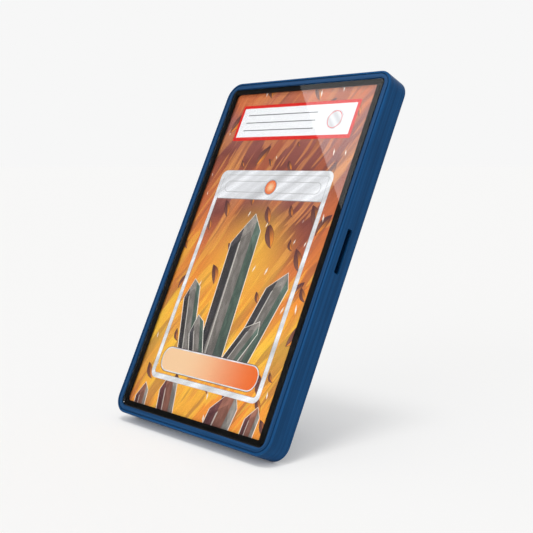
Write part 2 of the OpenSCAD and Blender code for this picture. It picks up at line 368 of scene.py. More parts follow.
def printed_plastic(name, case, colour, place, outline, gloss):
    """Satin plastic built up in layers: beads follow the outline, then cross the flat faces."""
    finish = Finish(name)
    point = finish.point(place)
    x, y, z = finish.parts(point)
    flat = finish.facing(place).rise(0.55, 0.85)
    rim = inset(x, y, *outline)
    across = (x + y) * math.sqrt(0.5)
    inner = rim.rise(case.outline_width, case.outline_width + 0.1)
    bead = finish.mix(inner, rim, across)
    wall_streak = finish.noise(point * (0.014, 0.014, 1.3), 1.0, 3.0, 0.65)
    face_streak = finish.noise(finish.vector(bead * 1.3, (x - y) * 0.015), 1.0, 3.0, 0.6)
    streak = finish.mix(flat, wall_streak, face_streak).rise(0.3, 0.7)
    blotch = finish.noise(point, 0.05)
    ridge = finish.mix(flat, z.wave(case.layer_height), bead.wave(case.bead_width))
    contrast = 1.0 - flat * inner * 0.5
    shade = finish.shades((streak - 0.5) * contrast + 0.5, colour, 0.78, 1.2)
    shade = finish.shades(blotch.rise(0.2, 0.8), shade, 0.94, 1.06)
    height = streak * 0.6 + ridge * 0.2
    return finish.coat(shade, 0.34 + streak * 0.1, finish.bump(height, 0.02, 0.6), gloss)


def clear_plastic(name, tint, ior, frost=0.0):
    """Clear plastic that lets the lamps through to what it covers. Frost makes its edges rough."""
    finish = Finish(name)
    edge = finish.facing(FACE).rise(0.7, 0.3)
    sockets = {"Base Color": finish.shades(edge, tint, 1.0, 0.92), "Roughness": edge * frost}
    sockets.update({"IOR": ior, "Transmission Weight": 1.0})
    body = finish.principled(sockets)
    through = finish.node("ShaderNodeBsdfTransparent")
    path = finish.node("ShaderNodeLightPath")
    lamp = path["Is Shadow Ray"].most(path["Is Diffuse Ray"])
    return finish.show(finish.node("ShaderNodeMixShader", None, {0: lamp, 1: body, 2: through}))


def matt_fibre(name, colour, grain, depth):
    """A dull soft sheet with a fine grain."""
    finish = Finish(name)
    point = finish.point(FACE)
    fine = finish.noise(point, grain, 3.0, 0.65)
    broad = finish.noise(point, grain * 0.08)
    shade = finish.shades(fine.rise(0.3, 0.7), colour, 0.7, 1.3)
    shade = finish.shades(broad, shade, 0.9, 1.1)
    return finish.coat(shade, 0.8 + fine * 0.15, finish.bump(fine, depth), gloss=0.25)


def foam(name, colour, cell):
    """Closed-cell foam with fine round pores, painted darker in the low seams between them as shade."""
    finish = Finish(name)
    point = finish.point(FACE)
    pores = finish.node("ShaderNodeTexVoronoi", None, {"Vector": point, "Scale": 1 / cell})
    wall = pores["Distance"].rise(0.1, 0.6)
    # Raised cell middles are painted lighter and the low seams darker: painted shade that follows the
    # bump.
    shade = finish.shades(wall, colour, 1.3, 0.6)
    return finish.coat(shade, 0.85 + wall * 0.1, finish.bump(1.0 - wall, 0.08), gloss=0.2)


def rubber(name, colour):
    """Dark rubber with a fine grain and a few dusty marks."""
    finish = Finish(name)
    point = finish.point(LEG)
    grain = finish.noise(point, 9.0, 3.0, 0.6)
    dust = finish.noise(point, 0.7, 3.0, 0.7).rise(0.5, 0.75)
    shade = finish.shades(dust, colour, 1.0, 2.2)
    return finish.coat(shade, 0.62 + dust * 0.2, finish.bump(grain, 0.02), gloss=0.3)


def metal(name, colour, density, roughness):
    """Plated or ground metal: its fine marks run along the side where their density is least."""
    finish = Finish(name)
    point = finish.point(FACE)
    marks = finish.noise(point * density, 1.0, 3.0, 0.6)
    spots = finish.noise(point, 1.1, 3.0, 0.7).rise(0.45, 0.75)
    shade = finish.shades(marks.rise(0.3, 0.7), colour, 0.85, 1.1)
    shade = finish.mix(spots, shade, shade * 0.8)
    rough = roughness + marks * 0.15 + spots * 0.1
    return finish.coat(shade, rough, finish.bump(marks, 0.006), metallic=1.0)


def black_print(name, colour):
    """The black border printed behind the pane."""
    finish = Finish(name)
    point = finish.point(FACE)
    film = finish.noise(point, 0.35, 3.0, 0.6)
    grain = finish.noise(point, 12.0)
    shade = finish.shades(film, colour, 0.85, 1.15)
    return finish.coat(shade, 0.3 + grain * 0.12, finish.bump(grain, 0.002), gloss=0.2)


def turned(x, y, degrees):
    """Two places turned about the origin: along the new x and along the new y."""
    cos, sin = math.cos(math.radians(degrees)), math.sin(math.radians(degrees))
    return x * cos + y * sin, y * cos - x * sin


def scatter(finish, across, along, width, height, share, randomness=1.0):
    """The nearest mark of a loose grid: whether it is there, two chances and the way from it."""
    spot = finish.vector(across / width, along / height)
    sockets = {"Vector": spot, "Scale": 1.0, "Randomness": randomness}
    cells = finish.node("ShaderNodeTexVoronoi", {"voronoi_dimensions": "2D"}, sockets)
    chance, first, second = finish.parts(cells["Color"])
    off_x, off_y, _ = finish.parts(spot - cells["Position"])
    return chance.rise(1 - share, 1.01 - share), first, second, off_x, off_y


def leaves(finish, picture, x, y, inks, lean, cell, share):
    """Adds pointed leaves to a picture, each with a dark half, a light half and a dark line."""
    across, along = turned(x, y, lean)
    chosen, size, bent, off_x, off_y = scatter(finish, across, along, cell, cell * 1.4, share, 0.8)
    length = 0.15 + size * 0.28
    tip = off_y / length
    mid = off_x + tip * tip * (bent - 0.5) * 0.2
    blade = (1.0 - tip * tip) * 0.56 * length - abs(mid)
    vein = abs(mid).rise(0.006, 0.014)
    body = finish.mix(mid.rise(-0.01, 0.01), inks.umber, inks.amber)
    body = finish.mix(tip.rise(-0.9, 0.9), body, inks.bark)
    body = finish.mix(vein, inks.bark, body)
    body = finish.mix(blade.rise(0.012, 0.03), inks.bark, body)
    return finish.mix(blade.rise(0.0, 0.012) * chosen, picture, body)


def flecks(finish, picture, x, y, inks, lean, cell, share):
    """Adds small light flecks to a picture."""
    across, along = turned(x, y, lean)
    chosen, size, _, off_x, off_y = scatter(finish, across, along, cell, cell * 1.5, share)
    blade = (size * 0.16 + 0.08) - abs(off_y) - abs(off_x) * 3.0
    return finish.mix(blade.rise(0.0, 0.04) * chosen, picture, inks.fleck)


def prism(finish, picture, x, y, foot, width, height, lean, sides):
    """Adds one pointed crystal to a picture: three flat sides, a cut tip and a light outline."""
    dark, middle, bright, outline = sides
    ridge_at, edge_at = 0.34, 0.74
    across, up = turned(x - foot[0], y - foot[1], lean)
    tip = height - up - abs(across - width * 0.12) * 1.3
    inside = (width / 2 - abs(across)).least(tip).least(up)
    share = across / width + 0.5
    stops = [(0.0, dark), (ridge_at, middle), (edge_at, bright)]
    body = finish.ramp(share + tip * 0.002, stops, "CONSTANT")
    crack = finish.noise(finish.vector(across * 0.5 + foot[0], up * 0.16), 1.0, 3.0)
    body = finish.shades(crack.rise(0.42, 0.62), body, 0.82, 1.14)
    below = tip - width * 0.42
    cut = (below - across * 0.5).within(0.0, 0.16)
    body = finish.mix(cut, body, body * 1.45)
    ridge = abs(share - ridge_at).within(0.025, 0.02) * below.past(0.0, 0.2)
    body = finish.mix(ridge * 0.5, body, outline)
    body = finish.mix((up / height).rise(0.3, 0.0) * 0.45, body, dark)
    body = finish.mix(inside.within(0.33, 0.18), body, outline)
    return finish.mix(inside.rise(-0.05, 0.1), picture, body)


def crystals(finish, picture, x, y, base, row, sides):
    """Adds a row of crystals that stand at one height of a picture."""
    for across, width, height, lean in row:
        picture = prism(finish, picture, x, y, (across, base), width, height, lean, sides)
    return picture


def warm_ground(finish, x, y, inks, start, end, shift):
    """Broad slanting brush strokes that go from gold below to mauve above."""
    drift = finish.noise(finish.vector(x * 0.02 + shift, y * 0.02), 1.0)
    level = (y - start) / (end - start) + (drift - 0.5) * 0.4
    stops = [(0.0, inks.amber), (0.2, inks.gold), (0.4, inks.amber), (0.6, inks.terracotta)]
    stops += [(0.78, inks.plum), (0.9, inks.mauve), (1.0, inks.terracotta)]
    ground = finish.ramp(level, stops)
    across, along = turned(x, y, -27)
    across = across + drift * 12.0
    pale = finish.mix(level.rise(0.3, 0.9), inks.gold, inks.apricot)
    strokes = ((9.0, 0.5, pale), (5.0, 0.45, inks.plum), (3.0, 0.55, pale), (13.0, 0.4, inks.terracotta))
    for step, (width, share, ink) in enumerate(strokes):
        spot = finish.vector(across / width + step * 7.0 + shift, along / (width * 9.0))
        swipe = finish.noise(spot, 1.0, 1.0)
        ground = finish.mix(swipe.rise(0.575, 0.6) * share, ground, ink)
    bristle = finish.noise(finish.vector(across * 1.4, along * 0.07), 1.0, 4.0, 0.65)
    return finish.shades(bristle.rise(0.3, 0.7), ground, 0.9, 1.1)


def coated_paper(finish, picture, roughness, gloss):
    """A glossy printed sheet that shows a picture."""
    grain = finish.noise(finish.point(FACE), 6.0, 3.0, 0.6)
    return finish.coat(picture, roughness + grain * 0.1, finish.bump(grain, 0.004), gloss)


def centred(finish, node):
    """The shaded point from a flat node's middle, and half the node's width and height."""
    low, high = FACE.box(node)
    middle = (low + high) / 2
    x, y, _ = finish.parts(finish.point(FACE))
    return x - middle.x, y - middle.y, (high.x - low.x) / 2, (high.y - low.y) / 2


def board_finish(inks):
    """The art board: a warm painted ground with leaves, flecks and a few low crystals."""
    finish = Finish("art_board")
    low, high = FACE.box("art_board")
    x, y, _ = finish.parts(finish.point(FACE))
    picture = warm_ground(finish, x, y, inks, low.y, high.y, shift=3.0)
    picture = leaves(finish, picture, x, y, inks, lean=38, cell=7.0, share=0.3)
    picture = leaves(finish, picture, x + 30.0, y, inks, lean=-31, cell=13.0, share=0.45)
    picture = flecks(finish, picture, x, y, inks, lean=12, cell=6.0, share=0.2)
    sides = (inks.bark, inks.umber, inks.stone, inks.fleck)
    base = low.y - 3.0
    picture = crystals(finish, picture, x, y, base, BOARD_CRYSTALS, sides)
    return coated_paper(finish, picture, roughness=0.34, gloss=0.3)


def card_foot(finish, picture, x, up, half_w, silver, inks):
    """Adds the card's foot: an orange bar with round ends inside a silver and a dark line."""
    middle, half_height, margin, corner = 8.2, 4.4, 4.2, 4.0
    silver_line, dark_line = 0.45, 0.65
    bar = inset(x, up - middle, half_w - margin, half_height, corner)
    orange = finish.mix((x / half_w).rise(-0.5, 0.9), inks.peach, inks.ember)
    picture = finish.mix(bar.past(-dark_line), picture, inks.bark)
    picture = finish.mix(bar.past(-silver_line), picture, silver)
    return finish.mix(bar.past(0.0), picture, orange)


def card_head(finish, picture, x, down, half_w, silver, dark, inks):
    """Adds the card's head: a silver bar with a dark outline, a fine line and a round jewel."""
    middle, half_height, margin, corner = 7.0, 5.1, 1.9, 0.6
    dark_line = 0.25
    line_margin, line_half_height, line_in = 4.4, 2.6, 0.3
    setting, gap, jewel = 3.95, 3.25, 2.85
    y = down + middle
    bar = inset(x, y, half_w - margin, half_height, corner)
    picture = finish.mix(bar.past(-dark_line), picture, dark)
    picture = finish.mix(bar.past(0.0), picture, silver)
    line = inset(x, y, half_w - line_margin, line_half_height, line_half_height)
    picture = finish.mix(abs(line - line_in).within(0.15) * 0.6, picture, dark)
    out = distance(x, y)
    picture = finish.mix(out.within(setting), picture, silver)
    picture = finish.mix(out.within(gap), picture, dark)
    heart = finish.mix(out.rise(0.0, 2.9), inks.peach, inks.ember)
    return finish.mix(out.within(jewel), picture, heart)


def card_finish(inks):
    """The card: a silver edge and head, a warm picture with crystals, and an orange foot."""
    finish = Finish("trading_card")
    x, y, half_w, half_h = centred(finish, "trading_card")
    picture = warm_ground(finish, x, y, inks, -half_h, half_h, shift=11.0)
    glow_up, glow_start, glow_end = 6.0, 30.0, 6.0
    glow = distance(x, y - glow_up).rise(glow_start, glow_end)
    picture = finish.mix(glow * 0.6, picture, inks.gold)
    picture = leaves(finish, picture, x + 17.0, y + 9.0, inks, lean=29, cell=10.0, share=0.5)
    picture = flecks(finish, picture, x, y, inks, lean=-15, cell=6.0, share=0.22)
    sides = (inks.stone_dark, inks.stone, inks.moss, inks.fleck)
    base = -36.0
    picture = crystals(finish, picture, x, y, base, CARD_CRYSTALS, sides)
    # The diagonal bands in the silver are a painted sheen that stands in for the foil's reflection.
    painted_sheen = finish.noise(finish.vector(x * 0.1 - y * 0.14, 0.0), 1.0)
    silver = finish.shades(painted_sheen.rise(0.32, 0.68), inks.silver, 0.76, 1.24)
    dark = scaled(inks.silver, 0.45)
    picture = card_foot(finish, picture, x, y + half_h, half_w, silver, inks)
    picture = card_head(finish, picture, x, y - half_h, half_w, silver, dark, inks)
    corner, dark_edge, silver_edge = 3.2, 2.1, 1.95
    rim = inset(x, y, half_w, half_h, corner)
    picture = finish.mix(rim.within(dark_edge), picture, dark)
    picture = finish.mix(rim.within(silver_edge), picture, silver)
    return coated_paper(finish, picture, roughness=0.3, gloss=0.3)


def label_finish(inks):
    """The grade label: white paper inside a red edge, with ruled lines and a silver seal."""
    finish = Finish("grade_label")
    x, y, half_w, half_h = centred(finish, "grade_label")
    side_edge, end_edge, raised = 1.5, 1.43, 0.08
    panel = inset(x, y - raised, half_w - side_edge, half_h - end_edge, radius=0.1)
    fibre = finish.noise(finish.point(FACE), 2.5, 4.0, 0.7)
    paper = finish.shades(fibre, inks.label_white, 0.97, 1.0)
    rules_across, rules_half_w, rules_half_h, rule_gap = 8.0, 20.0, 5.0, 3.4
    ruled = inset(x + rules_across, y, rules_half_w, rules_half_h, radius=0.1).past(0.05)
    rules = abs(y).least(abs(abs(y) - rule_gap)).within(0.2, 0.08)
    paper = finish.mix(rules * ruled, paper, scaled(inks.silver, 0.2))
    seal_across, seal_radius, ring_radius = 22.0, 4.25, 3.5
    seal = distance(x - seal_across, y)
    # The seal's silver carries diagonal bands of painted sheen.
    foil_with_sheen = finish.shades((x + y).wave(5.0) * 0.5 + 0.5, inks.silver, 0.85, 1.1)
    paper = finish.mix(seal.within(seal_radius), paper, foil_with_sheen)
    paper = finish.mix(abs(seal - ring_radius).within(0.14, 0.08), paper, inks.label_red)
    red = finish.shades(fibre, inks.label_red, 0.92, 1.0)
    picture = finish.mix(panel.past(0.0, 0.12), red, paper)
    return coated_paper(finish, picture, roughness=0.42, gloss=0.5)


def card_stock(name, colour):
    """Smooth white board with faint fibres and grey cut edges."""
    finish = Finish(name)
    point = finish.point(FACE)
    fibre = finish.noise(point * (1.0, 0.3, 1.0), 2.2, 4.0, 0.7)
    cut = finish.facing(FACE).rise(0.6, 0.3)
    plies = finish.parts(point)[2].wave(0.4) * 0.5 + 0.5
    shade = finish.shades(fibre, colour, 0.94, 1.0)
    shade = finish.mix(cut * plies * 0.3, shade, scaled(colour, 0.6))
    return finish.coat(shade, 0.7 + fibre * 0.15, finish.bump(fibre, 0.01), gloss=0.3)


def paint(node, material):
    """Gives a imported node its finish."""
    slots = frame["nodes"][node].data.materials
    slots.clear()
    slots.append(material)


def placed(name, data):
    """A new object in the scene."""
    made = bpy.data.objects.new(name, data)
    bpy.context.scene.collection.objects.link(made)
    return made


def stand_in(node, name, mesh, body, material):
    """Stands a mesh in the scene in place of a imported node."""
    mesh.materials.clear()
    mesh.materials.append(material)
    piece = placed(name, mesh)
    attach(piece, body)
    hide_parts(node)
    return piece


def softened(node, name, body, width, material):
    """Stands a copy of a node in its place, with its sharp edges rounded."""
    mesh = frame["nodes"][node].data.copy()
    mesh.name = name
    shape = bmesh.new()
    shape.from_mesh(mesh)
    bmesh.ops.remove_doubles(shape, verts=shape.verts, dist=TINY * MM)
    flat = math.radians(FLAT_CREASE)
    bmesh.ops.dissolve_limit(shape, angle_limit=flat, verts=shape.verts, edges=shape.edges)
    least = math.radians(SHARP_EDGE)
    sharp = [edge for edge in shape.edges if edge.is_manifold and edge.calc_face_angle() > least]
    rounded = {"segments": 2, "profile": 0.5, "affect": "EDGES", "clamp_overlap": True}
    bmesh.ops.bevel(shape, geom=sharp, offset=width * MM, **rounded)
    shape.to_mesh(mesh)
    shape.free()
    mesh.shade_smooth()
    mesh.set_sharp_from_angle(angle=math.radians(KEPT_CREASE))
    piece = stand_in(node, name, mesh, body, material)
    weighted = piece.modifiers.new("even shading", "WEIGHTED_NORMAL")
    weighted.keep_sharp = True


def skin(shape, rings):
    """Adds a closed body to a mesh. Each ring is its places on the face and their height."""
    rows = [[shape.verts.new(FACE.world(x, y, rise)) for x, y in spots] for spots, rise in rings]
    for low, high in zip(rows, rows[1:]):
        for step, corner in enumerate(low):
            after = (step + 1) % len(low)
            shape.faces.new((corner, low[after], high[after], high[step]))
    shape.faces.new(rows[0][::-1])
    shape.faces.new(rows[-1])


def lathe(shape, middle, profile, count=48):
    """Adds a round body to a mesh: its profile is pairs of a radius and a height on the face."""
    turns = [2 * math.pi * step / count for step in range(count)]
    rings = []
    for radius, rise in profile:
        spots = [(middle.x + radius * math.cos(t), middle.y + radius * math.sin(t)) for t in turns]
        rings.append((spots, rise))
    skin(shape, rings)


def cross_prism(shape, middle, reach, half, low, high):
    """Adds an upright cross between two heights on the face, to cut a recess with."""
    quarter = [(half, half), (half, reach), (-half, reach)]
    outline = []
    for _ in range(4):
        outline += [(middle.x + x, middle.y + y) for x, y in quarter]
        quarter = [(-y, x) for x, y in quarter]
    skin(shape, [(outline, low), (outline, high)])


def cut_away(shape, tool):
    """The first mesh less the second."""
    pieces = []
    for part in (shape, tool):
        bmesh.ops.recalc_face_normals(part, faces=part.faces)
        mesh = bpy.data.meshes.new("cutting")
        part.to_mesh(mesh)
        part.free()
        pieces.append(placed("cutting", mesh))
    cut = pieces[0].modifiers.new("recess", "BOOLEAN")
    cut.operation = "DIFFERENCE"
    cut.solver = "EXACT"
    cut.object = pieces[1]
    bpy.context.view_layer.update()
    graph = bpy.context.evaluated_depsgraph_get()
    result = bpy.data.meshes.new_from_object(pieces[0].evaluated_get(graph))
    for piece in pieces:
        bpy.data.objects.remove(piece)
    return result


def cross_screws(material, depth):
    """The keepers' screws, each with an eased head, a cross recess and a shank."""
    source = FACE.points("keeper_screws")
    shape, tool = bmesh.new(), bmesh.new()
    near = 0.01
    for side in (-1, 1):
        points = [point for point in source if point.x * side > 0]
        low, high = box_of(points)
        middle, head = (low.xy + high.xy) / 2, (high.x - low.x) / 2
        back, front = low.z, high.z
        spans = [((point.xy - middle).length, point.z) for point in points]
        shank = max(radius for radius, rise in spans if rise > front - near)
        under = max(rise for radius, rise in spans if radius > head - near)
        ease = (under - back) / 3
        bend = ease * 0.3
        rings = [(head - ease, back), (head - bend, back + bend), (head, back + ease)]
        rings += [(head, under), (shank, under), (shank, front)]
        lathe(shape, middle, rings)
        arm, half_arm = head * 0.62, head * 0.13
        cross_prism(tool, middle, arm, half_arm, back - ease, back + depth)
    mesh = cut_away(shape, tool)
    mesh.name = "cross_screws"
    mesh.shade_smooth()
    mesh.set_sharp_from_angle(angle=math.radians(SHARP_EDGE))
    stand_in("keeper_screws", "cross_screws", mesh, "case", material)


def amount(label, described, default, **more):
    """A number that a user may change."""
    return FloatProperty(name=label, description=described, default=default, **more)


def triple(label, described, default, kind, **more):
    """Three numbers that a user may change."""
    return FloatVectorProperty(name=label, description=described, default=default, subtype=kind, **more)


def swatch(label, described, *levels):
    """A colour that a user may change, from its usual numbers between 0 and 255."""
    return triple(label, described, tone(*levels), "COLOR", min=0.0, max=1.0)


def millimetres(label, described, default):
    """A small length in millimetres that a user may change."""
    return amount(label, described + ", in millimetres", default, min=0.01)


class CaseSettings(bpy.types.PropertyGroup):
    """Sizes, colours and refraction of the case and of the slab's clear halves"""

    shell: swatch("Shell", "Colour of the shell and the leg", 23, 70, 115)
    front: swatch("Front", "Colour of the front frame", 20, 64, 106)
    layer_height: millimetres("Layer", "Height of one layer of the plastic", 0.2)
    bead_width: millimetres("Bead", "Width of one bead of the plastic", 0.42)
    outline_width: millimetres("Outline", "Width of the beads along the outline", 3.6)
    clear: swatch("Clear plastic", "Tint of the pane and the slab", 253, 254, 255)
    pane_ior: amount("Pane IOR", "Refraction of the clear pane", 1.49)
    slab_ior: amount("Slab IOR", "Refraction of the slab, kept low for faint reflections", 1.3)
    liner: swatch("Liner", "Colour of the liner around the slab", 40, 38, 36)
    pad: swatch("Pad", "Colour of the foam behind the slab", 52, 52, 54)
    tape: swatch("Tape", "Colour of the tape around the pane", 40, 40, 40)
    border: swatch("Border", "Colour of the printed border", 20, 20, 19)
    rubber: swatch("Rubber", "Colour of the leg's foot", 38, 38, 39)
    steel: swatch("Steel", "Colour of the pin, its keepers and their screws", 190, 192, 196)
    nickel: swatch("Nickel", "Colour of the magnets", 205, 206, 208)
    eased: millimetres("Eased edge", "Rounding of the frame's and the leg's edges", 0.12)
    recess: millimetres("Screw recess", "Depth of the screws' cross recess", 0.15)


class PrintSettings(bpy.types.PropertyGroup):
    """Colours of the prints and of the core board"""

    gold: swatch("Gold", "Lightest colour of the painted ground", 252, 196, 68)
    amber: swatch("Amber", "Orange of the painted ground", 244, 148, 56)
    terracotta: swatch("Terracotta", "Red brown of the painted ground", 208, 112, 66)
    plum: swatch("Plum", "Darkest colour of the painted ground", 132, 72, 64)
    mauve: swatch("Mauve", "Colour of the painted ground at the top", 166, 102, 92)
    apricot: swatch("Apricot", "Pale strokes at the top of the painted ground", 226, 144, 88)
    bark: swatch("Bark", "Outline and shaded part of the leaves", 92, 54, 56)
    umber: swatch("Umber", "Dark half of the leaves and a side of the low crystals", 134, 88, 74)
    stone_dark: swatch("Dark stone", "Dark side of the crystals", 66, 64, 66)
    stone: swatch("Stone", "Middle side of the crystals", 128, 122, 116)
    moss: swatch("Moss", "Green side of the crystals", 84, 100, 90)
    fleck: swatch("Fleck", "Colour of the flecks and the outlines", 246, 240, 228)
    silver: swatch("Silver", "Silver of the card's edge and head", 228, 228, 230)
    peach: swatch("Peach", "Pale end of the card's foot", 250, 206, 160)
    ember: swatch("Ember", "Orange end of the card's foot", 240, 110, 44)
    label_white: swatch("Label", "Paper of the grade label", 253, 253, 254)
    label_red: swatch("Label edge", "Edge of the grade label", 230, 24, 10)
    board: swatch("Board", "Board behind the card", 238, 236, 230)


class StudioSettings(bpy.types.PropertyGroup):
    """Floor, lamps and camera"""

    backdrop: swatch("Backdrop", "Colour of the floor and of what lies behind", 247, 247, 247)
    sky: amount("Sky", "Light from all around", 0.52, min=0.0)
    key: amount("Key", "Light of the key lamp on the floor", 0.4, min=0.0)
    key_width: amount("Key width", "How wide the key lamp looks", math.radians(17), subtype="ANGLE")
    key_from: triple("Key from", "Direction of the key lamp", (0.1, -0.2, 0.975), "DIRECTION")
    fill: amount("Fill", "Light of the front lamp on the floor", 0.08, min=0.0)
    fill_width: amount("Fill width", "How wide the front lamp looks", math.radians(60), subtype="ANGLE")
    fill_from: triple("Fill from", "Direction of the front lamp", (0.2, -0.95, 0.15), "DIRECTION")
    glow: amount("Floor glow", "Share of the floor's own light that the camera sees", 0.7)
    contact: amount("Contact", "How far the contact shadow reaches", 0.08, subtype="DISTANCE")
    focal_px: amount("Focal length", "The camera's focal length in pixels of the picture", 979.6)
    camera_at: triple("Camera", "Place of the camera", (0.27729, -0.24456, 0.09977), "TRANSLATION")
    camera_aim: triple("Aim", "Direction of the camera", (-0.73837, 0.6665, -0.1029), "DIRECTION")


class Inks:
    """The prints' colours as plain tuples."""

    def __init__(self, settings):
        for name in PrintSettings.__annotations__:
            setattr(self, name, tuple(getattr(settings, name)))


def camera_axes(studio):
    """The camera's place and its right, up and forward directions."""
    forward = Vector(studio.camera_aim).normalized()
    right = forward.cross(Vector((0, 0, 1))).normalized()
    return Vector(studio.camera_at), right, right.cross(forward), forward


def pane_front():
    """A point of the pane's front."""
    return FACE.world(0, 0, FACE.box("window_pane")[1].z)


def on_pane(studio, column, row):
    """Where the ray of one picture point meets the pane's front."""
    place, right, up, forward = camera_axes(studio)
    ray = forward + right * ((column - IMAGE_PX / 2) / studio.focal_px)
    ray -= up * ((row - IMAGE_PX / 2) / studio.focal_px)
    share = (pane_front() - place).dot(FACE.out) / ray.dot(FACE.out)
    return place + ray * share


def outline_of(node):
    """Half the width, half the height and the corner radius of a flat node."""
    low, high = FACE.box(node)
    straight = max(point.x for point in FACE.points(node) if point.y > high.y - TINY)
    return (high.x - low.x) / 2, (high.y - low.y) / 2, high.x - straight


class CASE_OT_shell(bpy.types.Operator):
    """Finish the rear shell in layered blue plastic"""

    bl_idname = "display_case.shell"
    bl_label = "Rear Shell"

    def execute(self, context):
        case = context.scene.case_settings
        outline = outline_of("rear_shell")
        plastic = printed_plastic("shell_plastic", case, case.shell, FACE, outline, gloss=0.05)
        paint("rear_shell", plastic)
        return {"FINISHED"}


class CASE_OT_front_frame(bpy.types.Operator):
    """Finish the front frame and round its edges"""

    bl_idname = "display_case.front_frame"
    bl_label = "Front Frame"

    def execute(self, context):
        case = context.scene.case_settings
        outline = outline_of("front_frame")
        plastic = printed_plastic("frame_plastic", case, case.front, FACE, outline, gloss=0.22)
        softened("front_frame", "front_frame_eased", "front", case.eased, plastic)
        return {"FINISHED"}


class CASE_OT_leg(bpy.types.Operator):
    """Finish the fold-out leg and its rubber foot"""

    bl_idname = "display_case.leg"
    bl_label = "Leg"

    def execute(self, context):
        case = context.scene.case_settings
        low, high = LEG.box("kickstand_leg")
        corner = 0.5
        outline = (high.x, high.y - low.y, corner)
        plastic = printed_plastic("leg_plastic", case, case.shell, LEG, outline, gloss=0.05)
        softened("kickstand_leg", "leg_eased", "leg", case.eased, plastic)
        paint("leg_foot", rubber("foot_rubber", case.rubber))
        return {"FINISHED"}


class CASE_OT_linings(bpy.types.Operator):
    """Finish the liner and the foam pad that hold the slab"""

    bl_idname = "display_case.linings"
    bl_label = "Liner and Pad"

    def execute(self, context):
        case = context.scene.case_settings
        paint("inner_liner", matt_fibre("liner_felt", case.liner, grain=5.0, depth=0.05))
        paint("back_pad", foam("pad_foam", case.pad, cell=0.5))
        return {"FINISHED"}


class CASE_OT_magnets(bpy.types.Operator):
    """Finish the bar magnets of the shell and the frame"""

    bl_idname = "display_case.magnets"
    bl_label = "Magnets"

    def execute(self, context):
        nickel = context.scene.case_settings.nickel
        plated = metal("nickel_plate", nickel, density=(3.0, 0.5, 3.0), roughness=0.18)
        paint("shell_magnets", plated)
        paint("frame_magnets", plated)
        return {"FINISHED"}


class CASE_OT_pane(bpy.types.Operator):
    """Finish the clear pane, its printed border and its tape"""

    bl_idname = "display_case.pane"
    bl_label = "Pane and Border"

    def execute(self, context):
        case = context.scene.case_settings
        paint("window_pane", clear_plastic("pane_clear", case.clear, case.pane_ior))
        paint("window_border", black_print("border_print", case.border))
        paint("pane_tape", matt_fibre("tape_black", case.tape, grain=3.0, depth=0.01))
        return {"FINISHED"}


class CASE_OT_slab(bpy.types.Operator):
    """Finish the two clear halves of the slab"""

    bl_idname = "display_case.slab"
    bl_label = "Slab"

    def execute(self, context):
        case = context.scene.case_settings
        clear = clear_plastic("slab_clear", case.clear, case.slab_ior, frost=0.25)
        paint("slab_front", clear)
        paint("slab_rear", clear)
        return {"FINISHED"}


class CASE_OT_prints(bpy.types.Operator):
    """Finish the art board, the card and the label"""

    bl_idname = "display_case.prints"
    bl_label = "Card, Label and Art"

    def execute(self, context):
        inks = Inks(context.scene.print_settings)
        paint("art_board", board_finish(inks))
        paint("trading_card", card_finish(inks))
        paint("grade_label", label_finish(inks))
        return {"FINISHED"}


class CASE_OT_core(bpy.types.Operator):
    """Finish the white board behind the card"""

    bl_idname = "display_case.core"
    bl_label = "Core Board"

    def execute(self, context):
        paint("core_board", card_stock("core_stock", context.scene.print_settings.board))
        return {"FINISHED"}


class CASE_OT_hinge(bpy.types.Operator):
    """Finish the hinge pin and its keepers, and cut the screws' cross recesses"""

    bl_idname = "display_case.hinge"
    bl_label = "Hinge"

    def execute(self, context):
        steel = context.scene.case_settings.steel
        paint("hinge_pin", metal("pin_steel", steel, density=(0.3, 4.0, 4.0), roughness=0.2))
        keepers = metal("keeper_steel", scaled(steel, 0.8), density=(4.0, 0.4, 4.0), roughness=0.32)
        paint("pin_keepers", keepers)
        plated = metal("screw_steel", steel, density=(2.0, 2.0, 2.0), roughness=0.24)
        cross_screws(plated, context.scene.case_settings.recess)
        return {"FINISHED"}


class CASE_OT_studio(bpy.types.Operator):
    """Lay the floor, set the lamps and place the camera"""

    bl_idname = "display_case.studio"
    bl_label = "Studio"

    def execute(self, context):
        studio = context.scene.studio_settings
        lay_floor(studio)
        light_world(context.scene, studio.backdrop, studio.sky)
        hang_lamp("key", studio.key_from, studio.key, studio.key_width)
        hang_lamp("fill", studio.fill_from, studio.fill, studio.fill_width)
        hang_flag(studio)
        place_camera(context.scene, studio)
        context.scene.view_settings.view_transform = "Standard"
        return {"FINISHED"}


def staged_sheet(name, corners, material):
    """A flat sheet of the studio, which isn't part of the object."""
    mesh = bpy.data.meshes.new(name)
    mesh.from_pydata([tuple(corner) for corner in corners], [], [tuple(range(len(corners)))])
    mesh.materials.append(material)
    sheet = placed(name, mesh)
    return sheet


def lay_floor(studio):
    """The pale floor, wide enough to reach the horizon, darkened near the case by a painted contact
    shadow.
    """
    finish = Finish("studio_floor")
    colour = studio.backdrop
    speck = finish.noise(finish.node("ShaderNodeTexCoord")["Object"], 40.0, 3.0)
    shade = finish.shades(speck, colour, 0.995, 1.0) * (1.0, 0.99, 0.97)
    matt = finish.principled({"Base Color": shade, "Roughness": 0.9, "Specular IOR Level": 0.0})
    glow = finish.node("ShaderNodeEmission", None, {"Color": colour, "Strength": 1.0})
    # Ambient occlusion cuts the floor's glow near the case: a painted contact shadow on top of the
    # lamps' shadow.
    near = finish.node("ShaderNodeAmbientOcclusion", {"samples": 16}, {"Distance": studio.contact})["AO"]
    share = finish.node("ShaderNodeLightPath")["Is Camera Ray"] * near * studio.glow
    material = finish.show(finish.node("ShaderNodeMixShader", None, {0: share, 1: matt, 2: glow}))
    reach = 60.0
    corners = [(-reach, -reach, 0), (reach, -reach, 0), (reach, reach, 0), (-reach, reach, 0)]
    staged_sheet("floor", corners, material)


